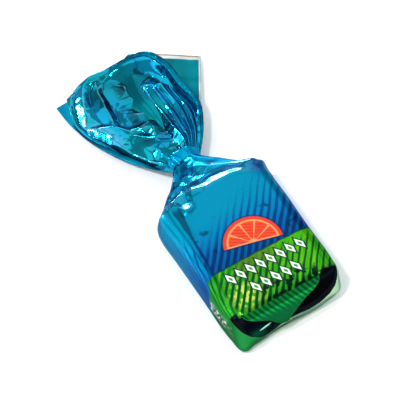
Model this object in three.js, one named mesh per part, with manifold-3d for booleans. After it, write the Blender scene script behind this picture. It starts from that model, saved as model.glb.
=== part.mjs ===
// A twist-wrapped jelly candy: a soft rounded block closed in metallic film. One end of the film is
// folded flat like a parcel, the other is gathered into a narrow twisted neck and opens into a fan.
// Millimetres, +X across the label, +Y towards the fan, +Z up. The candy lies on its back with the
// label up, and the origin is the middle of its flat underside.

import * as THREE from 'three';
import { mergeVertices } from 'three/addons/utils/BufferGeometryUtils.js';
import Module from 'manifold-3d';

// Driving dimensions of the wrapped block.
const WIDTH = 24.4;
const LENGTH = 32;
const DEPTH = 12;
const DRAFT = 0.03; // the sides lean out towards the underside, a share of the half width
const FOLDED_LEAN = [1.7, 0.7]; // how far the folded end leans out, at its left and its right
const SHOULDER_LEAN = [2.8, 1.6]; // the same for the end at the shoulder
const SHOULDER_SKEW = 1.4; // how much further the shoulder end's right side reaches
const SHOULDER_SPREAD = 0.055; // extra width towards the shoulder, a share of the width
const SIDE_RADIUS = 2.6; // the four long edges
const END_RADIUS = 1.9; // the edges round both ends
const LABEL_CROWN = 0.45; // how far the label swells
const SIDE_SWELL = 0.35;

// The folded end: the label's flap comes down over two tucked corners.
const FLAP = { top: 19.6, bottom: 4.4, drop: 8.6, thickness: 0.4, start: 1.7 };

// The shoulder and the twisted neck.
const NECK = { y: 27.3, z: 6.0, halfWidth: 3.4, halfDepth: 2.7, length: 1.6 };
const SHOULDER_START = 0.3; // share of the end radius turned before the film runs straight to the neck
const SHOULDER_HOLLOW = 0.15; // how far the taut film sags in between
const GATHERS = 12; // pleats round the neck
const GATHER_DEPTH = 0.5;
const NECK_TWIST = 0.55; // turns of the pleats from shoulder to fan

// The fan: two layers of film spread from the neck. Each is given by its four edges as points
// x, y, z: up its left side, up its right side, along its far edge, and the root across the neck.
const FILM = 0.5; // modelled thickness of a layer
const UPPER = {
  seed: 3,
  columns: 34,
  rows: 22,
  left: [[-3.3, 27.2, 6], [-6.1, 32.5, 3.6], [-11.6, 43, 1.9], [-15.5, 53.5, 1.6], [-14.1, 62.4, 2.6]],
  right: [[3.1, 28.2, 6], [7.1, 33.8, 6.3], [10.1, 41, 7], [9.3, 48, 7.9], [8.8, 54.1, 8.8]],
  far: [[-14.1, 62.4, 2.6], [-7.1, 63.8, 4], [0.5, 62.6, 6.2], [6.1, 59.6, 8.8], [8.8, 54.1, 8.8]],
  rise: 2.5, // how far the root's middle stands over its sides
  gathered: 4.9, // thickness of the bundle of film where it leaves the neck
};
const LOWER = {
  seed: 11,
  columns: 17,
  rows: 12,
  left: [[-3.1, 27.4, 5.2], [-6, 32.4, 3], [-11.4, 43.3, 1.1], [-15.8, 53.3, 0.9], [-16.6, 62.5, 0.9]],
  right: [[3, 28.1, 5.4], [6.3, 33.6, 4.6], [10.3, 41, 3.8], [13.4, 47.4, 2.8], [18.6, 57, 2]],
  far: [[-16.6, 62.5, 0.9], [-6.7, 65.5, 2.4], [1.2, 64.6, 4], [6.9, 63, 5], [18.6, 57, 2]],
  rise: 0.2,
  gathered: 1.2,
};
// The upper layer dips to a scoop that ends in a steep wall at its far edge and its right side.
const SCOOP = { depth: 2.6, from: 0.22, full: 0.62, farWall: 0.88, rightWall: 0.9 };
// The upper layer's edge is rolled: radius at the start, the top of the arch and the end.
const ROLL = { left: 0.45, arch: 1.05, neck: 0.6 };
const LIP = { radius: 0.55, from: 0.2, to: 0.78 }; // the turned-up left edge

const SECTION_POINTS = 64;
const MERGE = 0.02; // features smaller than this are merged away

// A repeatable number from 0 to 1 for three whole numbers.
function chance(i, j, k) {
  const s = Math.sin(i * 12.9898 + j * 78.233 + k * 37.719) * 43758.5453;
  return s - Math.floor(s);
}

const mix = (a, b, k) => a + (b - a) * k;
const clamp = (x, low, high) => Math.min(high, Math.max(low, x));

function smooth(from, to, x) {
  const k = clamp((x - from) / (to - from), 0, 1);
  return k * k * (3 - 2 * k);
}

// The block's section: a rounded rectangle, by share of its perimeter from the middle of the top.
function blockSection(share, halfWidth, halfDepth, radius) {
  const top = WIDTH / 2 - SIDE_RADIUS;
  const side = DEPTH - 2 * SIDE_RADIUS;
  const arc = (Math.PI / 2) * SIDE_RADIUS;
  const runs = [top, arc, side, arc, 2 * top, arc, side, arc, top];
  let left = share * runs.reduce((sum, run) => sum + run, 0);
  let n = 0;
  while (n < runs.length - 1 && left > runs[n]) {
    left -= runs[n];
    n += 1;
  }
  const k = left / runs[n];
  const w = halfWidth - radius;
  const d = halfDepth - radius;
  const corner = (x, z, start) => {
    const angle = start - (k * Math.PI) / 2;
    return [x + radius * Math.cos(angle), z + radius * Math.sin(angle)];
  };
  if (n === 0) return [k * w, halfDepth];
  if (n === 1) return corner(w, d, Math.PI / 2);
  if (n === 2) return [halfWidth, mix(d, -d, k)];
  if (n === 3) return corner(w, -d, 0);
  if (n === 4) return [mix(w, -w, k), -halfDepth];
  if (n === 5) return corner(-w, -d, -Math.PI / 2);
  if (n === 6) return [-halfWidth, mix(-d, d, k)];
  if (n === 7) return corner(-w, d, Math.PI);
  return [mix(-w, 0, k), halfDepth];
}

// The sides and both ends lean out towards the underside; z is measured from the middle.
const leaning = (x, y, z) => x * (1 - (DRAFT * z) / (DEPTH / 2))
  * (1 + SHOULDER_SPREAD * smooth(-0.3, 1, y / (LENGTH / 2)));

function endLean(x, y, z) {
  const [left, right] = y < 0 ? FOLDED_LEAN : SHOULDER_LEAN;
  const share = smooth(0, 1, Math.abs(y) / (LENGTH / 2));
  const rightward = x / WIDTH + 0.5;
  const skew = y > 0 ? SHOULDER_SKEW * rightward : 0;
  return Math.sign(y) * share * (mix(left, right, rightward) * (0.5 - z / DEPTH) + skew);
}

// A closed ring of the body where its ends are inset by the turned edge.
function blockRing(y, inset) {
  const ring = [];
  const lengthwise = 1 - (y / (LENGTH / 2)) ** 2;
  for (let n = 0; n < SECTION_POINTS; n += 1) {
    const [x, z] = blockSection(n / SECTION_POINTS, WIDTH / 2 - inset, DEPTH / 2 - inset,
      Math.max(SIDE_RADIUS - inset * 0.4, 0.8));
    const across = 1 - (x / (WIDTH / 2)) ** 2;
    const upward = smooth(0, DEPTH / 2 - SIDE_RADIUS, z);
    const crown = LABEL_CROWN * across * lengthwise * upward;
    const swell = Math.sign(x) * SIDE_SWELL * lengthwise * (1 - (z / (DEPTH / 2)) ** 2)
      * smooth(0.8, 1, Math.abs(x) / (WIDTH / 2));
    ring.push(new THREE.Vector3(leaning(x, y, z) + swell, y + endLean(x, y, z), z + DEPTH / 2 + crown));
  }
  return ring;
}

// A ring of the shoulder: the film runs straight from the block's turned edge to the neck, and its
// pleats deepen and wind round as it narrows.
function shoulderRing(k) {
  const turned = Math.PI * 0.5 * SHOULDER_START;
  const startInset = END_RADIUS * (1 - Math.cos(turned));
  const startY = LENGTH / 2 - END_RADIUS + END_RADIUS * Math.sin(turned);
  const ring = [];
  for (let n = 0; n < SECTION_POINTS; n += 1) {
    const share = n / SECTION_POINTS;
    const [bx, bz] = blockSection(share, WIDTH / 2 - startInset, DEPTH / 2 - startInset,
      SIDE_RADIUS - startInset * 0.4);
    const angle = Math.PI / 2 - share * 2 * Math.PI;
    const nx = NECK.halfWidth * Math.cos(angle);
    const nz = NECK.halfDepth * Math.sin(angle);
    const depth = GATHER_DEPTH * k * k;
    const wave = Math.abs(((share * GATHERS + NECK_TWIST * GATHERS * k * 0.25) % 1) * 2 - 1);
    const pull = 1 - (SHOULDER_HOLLOW * Math.sin(Math.PI * k)) / (WIDTH / 2);
    const shrink = pull - (depth * wave) / NECK.halfWidth;
    const from = startY + endLean(bx, startY, bz);
    ring.push(new THREE.Vector3(mix(leaning(bx, startY, bz), nx, k) * shrink, mix(from, NECK.y, k),
      mix(DEPTH / 2, NECK.z, k) + mix(bz, nz, k) * shrink));
  }
  return ring;
}

// The neck past its narrowest place, where the fan's two layers grow out of it.
function neckRing(y, swell) {
  return shoulderRing(1).map((p, n) => {
    const share = n / SECTION_POINTS;
    const turn = (y - NECK.y) * NECK_TWIST * 0.12;
    const wave = Math.abs((((share + turn) * GATHERS) % 1) * 2 - 1);
    const scale = swell * (1 - 0.06 * wave);
    return new THREE.Vector3(p.x * scale, y, NECK.z + (p.z - NECK.z) * scale);
  });
}

// Rings of equal length become one closed mesh with flat ends.
function loft(rings) {
  const size = rings[0].length;
  const points = rings.flat();
  const faces = [];
  for (let r = 0; r < rings.length - 1; r += 1) {
    for (let n = 0; n < size; n += 1) {
      const a = r * size + n;
      const b = r * size + ((n + 1) % size);
      faces.push([a, b, a + size], [b, b + size, a + size]);
    }
  }
  const middle = (ring) => ring.reduce((sum, p) => sum.add(p), new THREE.Vector3())
    .multiplyScalar(1 / size);
  const first = points.push(middle(rings[0])) - 1;
  const last = points.push(middle(rings[rings.length - 1])) - 1;
  const end = (rings.length - 1) * size;
  for (let n = 0; n < size; n += 1) {
    const m = (n + 1) % size;
    faces.push([first, m, n], [last, end + n, end + m]);
  }
  return mesh(points, faces);
}

function mesh(points, faces) {
  const geometry = new THREE.BufferGeometry();
  geometry.setAttribute('position',
    new THREE.Float32BufferAttribute(points.flatMap((p) => [p.x, p.y, p.z]), 3));
  geometry.setIndex(faces.flat());
  return geometry;
}

function wrappedBlock() {
  const rings = [];
  const halfLength = LENGTH / 2;
  for (let n = 0; n <= 4; n += 1) {
    const angle = (n / 4) * (Math.PI / 2);
    const inset = END_RADIUS * (1 - Math.sin(angle));
    rings.push(blockRing(-halfLength + END_RADIUS * (1 - Math.cos(angle)), inset));
  }
  for (let n = 1; n < 8; n += 1) {
    rings.push(blockRing(mix(-halfLength + END_RADIUS, halfLength - END_RADIUS, n / 8), 0));
  }
  for (let n = 0; n < 3; n += 1) {
    const angle = (n / 3) * (Math.PI / 2) * SHOULDER_START;
    rings.push(blockRing(halfLength - END_RADIUS + END_RADIUS * Math.sin(angle),
      END_RADIUS * (1 - Math.cos(angle))));
  }
  for (let n = 0; n <= 9; n += 1) {
    rings.push(shoulderRing(n / 9));
  }
  rings.push(neckRing(NECK.y + NECK.length * 0.6, 1.02), neckRing(NECK.y + NECK.length, 1.1));
  return loft(rings);
}

// The flap at the folded end: a shallow trapezium that narrows to the underside.
function endFlap() {
  const outline = new THREE.Shape();
  const high = DEPTH - FLAP.start;
  outline.moveTo(-FLAP.top / 2, high);
  outline.lineTo(-FLAP.bottom / 2, high - FLAP.drop);
  outline.lineTo(FLAP.bottom / 2, high - FLAP.drop);
  outline.lineTo(FLAP.top / 2, high);
  outline.closePath();
  const depth = FLAP.thickness + END_RADIUS;
  const flap = new THREE.ExtrudeGeometry(outline, { depth, bevelEnabled: false });
  flap.rotateX(Math.PI / 2);
  flap.translate(0, -LENGTH / 2 + END_RADIUS, 0);
  const places = flap.attributes.position;
  for (let n = 0; n < places.count; n += 1) {
    const [x, y, z] = [places.getX(n), places.getY(n), places.getZ(n)];
    places.setY(n, y + endLean(x, -LENGTH / 2, z - DEPTH / 2));
  }
  return flap;
}

// A smooth line through points, for a share from 0 to 1 of the way along it.
function along(points, share) {
  const last = points.length - 1;
  const n = Math.min(Math.floor(share * last), last - 1);
  const k = share * last - n;
  const at = (m) => points[clamp(m, 0, last)];
  return at(n).map((p, c) => {
    const q = at(n + 1)[c];
    const leave = (q - at(n - 1)[c]) / 2;
    const arrive = (at(n + 2)[c] - p) / 2;
    const turn = k * (1 - k);
    return mix(p, q, k * k * (3 - 2 * k)) + turn * ((1 - k) * leave - k * arrive);
  });
}

// A layer's surface stretched between its four edges: s runs from left to right, t outwards.
function stretched(layer, s, t) {
  const left = along(layer.left, t);
  const right = along(layer.right, t);
  const far = along(layer.far, s);
  const [rootLeft, rootRight] = [layer.left[0], layer.right[0]];
  const [farLeft, farRight] = [layer.far[0], layer.far[layer.far.length - 1]];
  const root = rootLeft.map((p, c) => mix(p, rootRight[c], s));
  root[2] += layer.rise * Math.sin(Math.PI * s);
  return left.map((p, c) => mix(root[c], far[c], t) + mix(p, right[c], s)
    - mix(mix(rootLeft[c], rootRight[c], s), mix(farLeft[c], farRight[c], s), t));
}

function scoop(s, t) {
  return -SCOOP.depth * smooth(SCOOP.from, SCOOP.full, t) * smooth(0.05, 0.45, s)
    * (1 - smooth(SCOOP.farWall, 1, t)) * (1 - smooth(SCOOP.rightWall, 1, s));
}

const flat = () => 0;

// A layer's net of fold points: pleats that alternate up and down, each with its own reach.
function foldNet(layer, shape, pleatDepth) {
  const rows = [];
  for (let j = 0; j < layer.rows; j += 1) {
    const row = [];
    for (let i = 0; i < layer.columns; i += 1) {
      const side = i === 0 || i === layer.columns - 1;
      const rim = j === 0 || j === layer.rows - 1;
      const stray = (salt) => chance(i, j, layer.seed + salt) - 0.5;
      const s = (i + (side ? 0 : 0.5 * stray(1) * smooth(0.1, 0.5, j / layer.rows))) / (layer.columns - 1);
      const t = (j + (rim ? 0 : 0.7 * stray(2))) / (layer.rows - 1);
      const [x, y, z] = stretched(layer, s, t);
      const reach = mix(0.4, 1.2, chance(i, 2, layer.seed));
      const fade = side ? 0 : 1 - 0.7 * smooth(reach - 0.15, reach + 0.15, t);
      const fold = (i % 2 ? 1 : -1) * pleatDepth(s, t) * fade * (1 + 0.7 * stray(4));
      row.push(new THREE.Vector3(x, y, Math.max(z + shape(s, t) + fold, FILM + 0.1)));
    }
    rows.push(row);
  }
  return rows;
}

// How thick a layer is: a thick bundle at the neck that thins out to one film.
function thickness(layer, s, t) {
  const bundle = layer.gathered * Math.sqrt(Math.max(1 - (2 * s - 1) ** 2, 0));
  return Math.max(mix(bundle, FILM, smooth(0, 0.3, t)), FILM);
}

// A round rod along a line of points, its radius given by the share of the way along.
function rod(points, radius) {
  const steps = 30;
  const spokes = 9;
  const at = (k) => new THREE.Vector3(...along(points, clamp(k, 0, 1)));
  const rings = [];
  for (let n = 0; n <= steps; n += 1) {
    const k = n / steps;
    const ahead = at(k + 0.02).sub(at(k - 0.02)).normalize();
    const side = new THREE.Vector3(0, 0, 1).cross(ahead).normalize();
    const up = ahead.clone().cross(side);
    rings.push(Array.from({ length: spokes }, (_, m) => {
      const angle = (2 * Math.PI * m) / spokes;
      return at(k).addScaledVector(side, radius(k) * Math.cos(angle))
        .addScaledVector(up, radius(k) * Math.sin(angle));
    }));
  }
  return loft(rings);
}

function rolledEdge() {
  const far = [1, 2, 3].map((n) => UPPER.far[n]);
  const right = [...UPPER.right].reverse();
  const points = [...far, ...right].map(([x, y, z]) => [x, y, z - ROLL.neck]);
  return rod(points, (k) => (k < 0.45 ? mix(ROLL.left, ROLL.arch, smooth(0, 0.4, k))
    : mix(ROLL.arch, ROLL.neck, smooth(0.5, 1, k))));
}

function turnedLip() {
  const shares = [0, 0.25, 0.5, 0.75, 1].map((k) => mix(LIP.from, LIP.to, k));
  const points = shares.map((t) => along(UPPER.left, t));
  return rod(points, (k) => LIP.radius * (0.6 + 0.4 * Math.sin(Math.PI * k)));
}

// A net of fold points becomes a thin solid, with both faces split alike.
function filmSolid(layer, rows) {
  const wide = rows[0].length;
  const high = rows.length;
  const upper = rows.flat();
  const lower = upper.map((p, n) => {
    const deep = thickness(layer, (n % wide) / (wide - 1), Math.floor(n / wide) / (high - 1));
    return new THREE.Vector3(p.x, p.y, Math.max(p.z - deep, 0.05));
  });
  const offset = upper.length;
  const at = (i, j) => j * wide + i;
  const faces = [];
  for (let j = 0; j < high - 1; j += 1) {
    for (let i = 0; i < wide - 1; i += 1) {
      const [a, b, c, d] = [at(i, j), at(i + 1, j), at(i + 1, j + 1), at(i, j + 1)];
      const split = (i + j) % 2 ? [[a, b, c], [a, c, d]] : [[a, b, d], [b, c, d]];
      split.forEach(([p, q, r]) => {
        faces.push([p, q, r], [offset + p, offset + r, offset + q]);
      });
    }
  }
  const wall = (p, q) => faces.push([q, p, offset + p], [q, offset + p, offset + q]);
  for (let i = 0; i < wide - 1; i += 1) {
    wall(at(i, 0), at(i + 1, 0));
    wall(at(i + 1, high - 1), at(i, high - 1));
  }
  for (let j = 0; j < high - 1; j += 1) {
    wall(at(wide - 1, j), at(wide - 1, j + 1));
    wall(at(0, j + 1), at(0, j));
  }
  return mesh([...upper, ...lower], faces);
}

// Pleats are close and deep on the right of the upper layer, and shallow elsewhere.
const upperPleats = (s, t) => mix(0.25, mix(0.35, 0.8, smooth(0.4, 0.75, s)), smooth(0, 0.3, t));
const lowerPleats = (s, t) => 0.25 * smooth(0, 0.3, t);

const fanLayer = (layer, shape, pleats) => filmSolid(layer, foldNet(layer, shape, pleats));

const wasm = await Module();
wasm.setup();

// A three.js geometry becomes a solid that can be joined.
function solid(geometry) {
  geometry.deleteAttribute('normal');
  geometry.deleteAttribute('uv');
  const merged = mergeVertices(geometry, 1e-4);
  return new wasm.Manifold(new wasm.Mesh({
    numProp: 3,
    vertProperties: new Float32Array(merged.attributes.position.array),
    triVerts: new Uint32Array(merged.index.array),
  }));
}

// Pockets shut in where folds cross are filled: only the outer skin is kept.
function outerSkin(manifold) {
  return manifold.decompose().reduce((best, piece) => (piece.volume() > best.volume() ? piece : best));
}

// A joined solid becomes a three.js geometry again.
function joined(manifold) {
  const made = manifold.simplify(MERGE).getMesh();
  const geometry = new THREE.BufferGeometry();
  geometry.setAttribute('position', new THREE.BufferAttribute(made.vertProperties, 3));
  geometry.setIndex(new THREE.BufferAttribute(made.triVerts, 1));
  geometry.computeVertexNormals();
  return geometry;
}

const metallicFilm = new THREE.MeshStandardMaterial({ color: 0x069bc3, roughness: 0.22, metalness: 0.9 });

const candy = new THREE.Mesh(
  joined(outerSkin(solid(wrappedBlock())
    .add(solid(endFlap()))
    .add(solid(fanLayer(UPPER, scoop, upperPleats)))
    .add(solid(fanLayer(LOWER, flat, lowerPleats)))
    .add(solid(rolledEdge()))
    .add(solid(turnedLip())))),
  metallicFilm,
);
candy.name = 'wrapped_candy';

const model = new THREE.Group();
model.add(candy);

export default model;
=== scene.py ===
"""A twist-wrapped jelly candy in printed metallised film, lying label up on a pale floor."""

import math

import bpy
import numpy as np
from mathutils import Matrix, Vector
from mathutils.geometry import delaunay_2d_cdt


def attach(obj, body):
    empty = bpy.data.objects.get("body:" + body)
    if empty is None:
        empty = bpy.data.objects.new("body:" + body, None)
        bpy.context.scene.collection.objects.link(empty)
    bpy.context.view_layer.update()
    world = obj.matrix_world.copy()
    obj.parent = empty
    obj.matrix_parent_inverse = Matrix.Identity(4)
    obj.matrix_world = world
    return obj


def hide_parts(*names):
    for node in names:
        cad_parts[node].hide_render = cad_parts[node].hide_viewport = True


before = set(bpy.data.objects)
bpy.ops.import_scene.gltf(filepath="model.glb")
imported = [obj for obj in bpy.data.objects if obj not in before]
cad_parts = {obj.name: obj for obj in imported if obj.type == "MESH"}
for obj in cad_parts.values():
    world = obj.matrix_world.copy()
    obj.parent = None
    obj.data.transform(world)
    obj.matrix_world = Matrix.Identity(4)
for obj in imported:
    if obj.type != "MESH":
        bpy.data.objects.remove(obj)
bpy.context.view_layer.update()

MM = 0.001

# ---------------------------------------------------------------- sizes, in millimetres
WIDTH = 24.4
LENGTH = 32.0
DEPTH = 12.0
HALF = LENGTH / 2
DRAFT = 0.03  # the share by which the sides lean in towards the label
FOLDED_LEAN = (1.7, 0.7)  # how far each end's foot stands out beyond its top, on the left and on the right
SHOULDER_LEAN = (2.8, 1.6)
SHOULDER_SKEW = 1.4  # how much further the block reaches on its right, at the shoulder
SHOULDER_SPREAD = 0.055  # the share by which it is wider there
SIDE_RADIUS = 2.6
END_RADIUS = 1.9
LABEL_CROWN = 0.45  # how far the label bulges up
SIDE_SWELL = 0.35  # how far the sides bulge out
SHOULDER_START = 0.12  # the share of the far edge's rounding that comes before the shoulder
SHOULDER_HOLLOW = 0.15  # how far the shoulder sags in on its way to the neck
SHOULDER_FILM = 14  # the film from the block's end to the neck
SHOULDER_ROWS = 96
AROUND = 280  # points in each ring of the block
END_DROP = 0.9  # how far past the block's end the flat end's film map starts
NECK = {"y": 27.3, "z": 6.0, "half_width": 3.4, "half_depth": 2.7, "length": 2.6, "flare": 0.04}
UV_MM = 100.0  # millimetres of film to one unit of its UV map

# The folded end, as x and z: the lower edge of the middle flap, and the upper edge of the pale rim.
FLAP_EDGE = [
    (-12.6, 12.4), (-10.4, 11.7), (-9.8, 11.0), (-8.0, 9.7), (-5.2, 7.7), (-2.8, 4.6), (-1.2, 4.4),
    (0.0, 5.6), (1.5, 7.1), (3.3, 8.7), (5.2, 9.8), (7.0, 11.2), (7.7, 12.1), (12.6, 13.4),
]
RIM_EDGE = [
    (-12.6, 10.6), (-11.9, 9.4), (-11.3, 8.2), (-9.5, 5.4), (-7.4, 3.4), (-4.7, 2.8), (-2.6, 4.4),
    (-0.9, 4.5), (1.5, 4.2), (4.1, 3.6), (6.5, 3.9), (9.0, 5.2), (10.4, 7.0), (11.2, 9.2), (11.8, 11.0),
    (12.6, 12.4),
]

# Creases of the wrapped block: place across, place along and height, in millimetres of film.
BLOCK_CREASES = {
    "before_edge": [
        (-5.0, 14.2, 0.02), (-4.4, 14.3, 0.04), (-2.4, 14.3, 0.08), (0.0, 14.2, 0.1), (4.0, 14.1, 0.1),
        (6.0, 13.6, 0.1), (7.2, 12.9, 0.06), (9.4, 12.4, 0.0),
    ],
    "label_edge": [
        (-4.4, 16.8, 0.5), (-3.4, 16.4, 0.48), (-2.4, 15.9, 0.45), (-1.0, 15.3, 0.42), (0.7, 15.4, 0.42),
        (2.0, 15.1, 0.42), (3.4, 15.0, 0.4), (5.1, 15.1, 0.4), (6.1, 14.4, 0.34), (7.1, 13.7, 0.28),
        (7.8, 13.3, 0.2), (9.5, 13.1, 0.1),
    ],
    "under_edge": [
        (-4.4, 17.4, 0.4), (-3.2, 17.1, 0.32), (-2.0, 17.1, 0.17), (-1.0, 17.3, 0.13), (0.0, 17.6, 0.16),
        (1.0, 18.1, 0.14), (2.0, 18.0, 0.12), (3.4, 17.5, 0.15), (4.6, 16.8, 0.22), (6.1, 16.5, 0.14),
        (7.1, 15.8, 0.08), (7.8, 14.6, 0.07), (9.0, 14.2, 0.05),
    ],
    "blue_band": [
        (-3.0, 19.2, 0.4), (0.4, 19.8, 0.28), (3.2, 19.2, 0.24), (6.4, 18.2, 0.16), (9.0, 16.4, 0.1),
    ],
    "cyan_ridge": [
        (-9.0, 29.4, 0.2), (-4.0, 27.4, 0.25), (-0.2, 25.1, 0.3), (1.9, 23.6, 0.35), (3.6, 22.2, 0.35),
        (5.8, 21.2, 0.3), (8.2, 19.8, 0.28), (11.0, 17.2, 0.16),
    ],
    "dark_valley": [
        (-3.0, 29.6, 0.1), (1.6, 26.8, 0.12), (4.4, 24.7, 0.16), (7.0, 22.5, 0.16), (10.4, 19.5, 0.1),
        (12.6, 16.1, 0.0),
    ],
    "far_ridge": [
        (3.6, 28.5, 0.3), (7.4, 25.7, 0.4), (10.0, 23.6, 0.4), (13.0, 20.4, 0.3), (14.8, 16.8, 0.1),
    ],
    "neck_a": [(-9.6, 26.4, 0.15), (-7.8, 23.6, -0.12), (-7.2, 21.0, 0.18)],
    "neck_b": [(-5.2, 25.5, -0.12), (-5.0, 23.4, 0.18), (-5.6, 21.3, -0.1), (-5.2, 19.8, 0.2)],
    "neck_c": [(-2.6, 25.3, 0.2), (-2.8, 23.0, -0.1), (-2.9, 21.3, 0.22)],
    "neck_d": [(-0.6, 23.0, 0.22), (-0.4, 21.1, 0.05)],
    "neck_e": [(-8.8, 20.8, 0.15), (-7.4, 19.3, -0.12), (-6.4, 17.6, 0.15)],
    "corner_a": [(-11.4, 19.8, 0.3), (-9.8, 18.5, -0.2), (-9.9, 16.3, 0.35), (-10.3, 15.1, 0.1)],
    "corner_b": [(-8.4, 17.5, 0.3), (-8.2, 15.7, -0.3), (-8.9, 15.1, 0.1)],
    "corner_c": [(-7.6, 12.0, 0.56), (-7.0, 12.0, 0.5), (-6.1, 12.1, 0.4)],
    "corner_foot": [(-7.6, 14.7, -0.68), (-7.0, 14.7, -0.74), (-6.1, 14.7, -0.84)],
    "corner_d": [(-5.3, 13.3, 0.0), (-5.0, 14.1, -0.08), (-4.8, 15.1, 0.1)],
    "corner_rest": [(-8.8, 11.2, 0.0), (-6.6, 11.0, 0.0), (-4.4, 12.4, 0.0)],
    "left_a": [(-12.4, 26.8, 0.2), (-12.8, 21.5, 0.2), (-13.4, 16.8, 0.1)],
    "left_b": [(-15.6, 26.4, -0.3), (-16.4, 20.4, -0.2), (-17.0, 16.6, -0.05)],
    "left_c": [(-18.8, 26.6, 0.2), (-19.8, 19.3, 0.1)],
    "flecks": [(-3.4, 15.1, 0.12), (-2.4, 14.8, -0.06), (-1.9, 15.1, 0.06)],
    "right_a": [(8.6, 13.6, 0.18), (9.4, 12.6, -0.12), (9.8, 11.4, 0.12)],
    "right_b": [(10.6, 15.1, 0.25), (10.9, 14.0, -0.2), (10.6, 12.2, 0.15)],
}

FILM = 0.12  # thickness in the fan
# Each fan layer: its edges as x, y, z, how far it arches up at the neck, and how thick it is gathered there.
UPPER = {
    "left": [(-3.3, 27.2, 6), (-6.1, 32.5, 3.6), (-11.6, 43, 1.9), (-15.5, 53.5, 1.6), (-14.1, 62.4, 2.6)],
    "right": [(3.1, 28.2, 6), (7.1, 33.8, 6.3), (10.1, 41, 7), (9.3, 48, 7.9), (8.8, 54.1, 8.8)],
    "far": [(-14.1, 62.4, 2.6), (-7.1, 63.8, 4), (0.5, 62.6, 6.2), (6.1, 59.6, 8.8), (8.8, 54.1, 8.8)],
    "rise": 2.5,
    "gathered": 4.9,
}
LOWER = {
    "left": [(-3.1, 27.4, 5.2), (-6, 32.4, 3), (-11.4, 43.3, 1.1), (-15.8, 53.3, 0.9), (-17.0, 62.8, 0.9)],
    "right": [(3, 28.1, 5.4), (6.3, 33.6, 4.6), (10.5, 41, 3.8), (13.9, 47.4, 2.8), (19.1, 57.1, 2)],
    "far": [
        (-17.0, 62.8, 0.9), (-9.5, 62.9, 1.8), (-4.6, 63.2, 2.6), (0.6, 63.7, 4), (4.6, 64.8, 4.9),
        (10.8, 61.3, 4), (19.1, 57.1, 2),
    ],
    "rise": 0.2,
    "gathered": 1.2,
}
SCOOP = {"depth": 2.6, "start": 0.22, "full": 0.62, "far_wall": 0.84, "right_wall": 0.9}
LEAST_HEIGHT = {"top": 0.3, "bottom": 0.1}  # of a fan layer's two faces above the floor
FAN_SHEET = (30, 36)  # each fan layer laid flat, across and out, for its UV map
CREASE_SHEET = (26, 36)  # the same for the upper layer's creases
ROLL = {"Start radius": 0.35, "Arch radius": 0.9, "End radius": 0.3, "Turns": 1.3, "Wrinkle": 0.35 * MM}
LIP = {"Start radius": 0.08, "Arch radius": 0.7, "End radius": 0.1, "Turns": 1.2, "Wrinkle": 0.2 * MM}
LIP_SPAN = (0.1, 0.8)  # the share of the left edge that is turned up
LIP_OFFSET = (-0.35, -0.25, 0.1)
ROLL_STEPS = 420
ROLL_SIDES = 96
SPIRAL = {"start": 0.72, "growth": 0.28, "film": 0.1}  # of a roll's section, as shares of its radius

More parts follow.
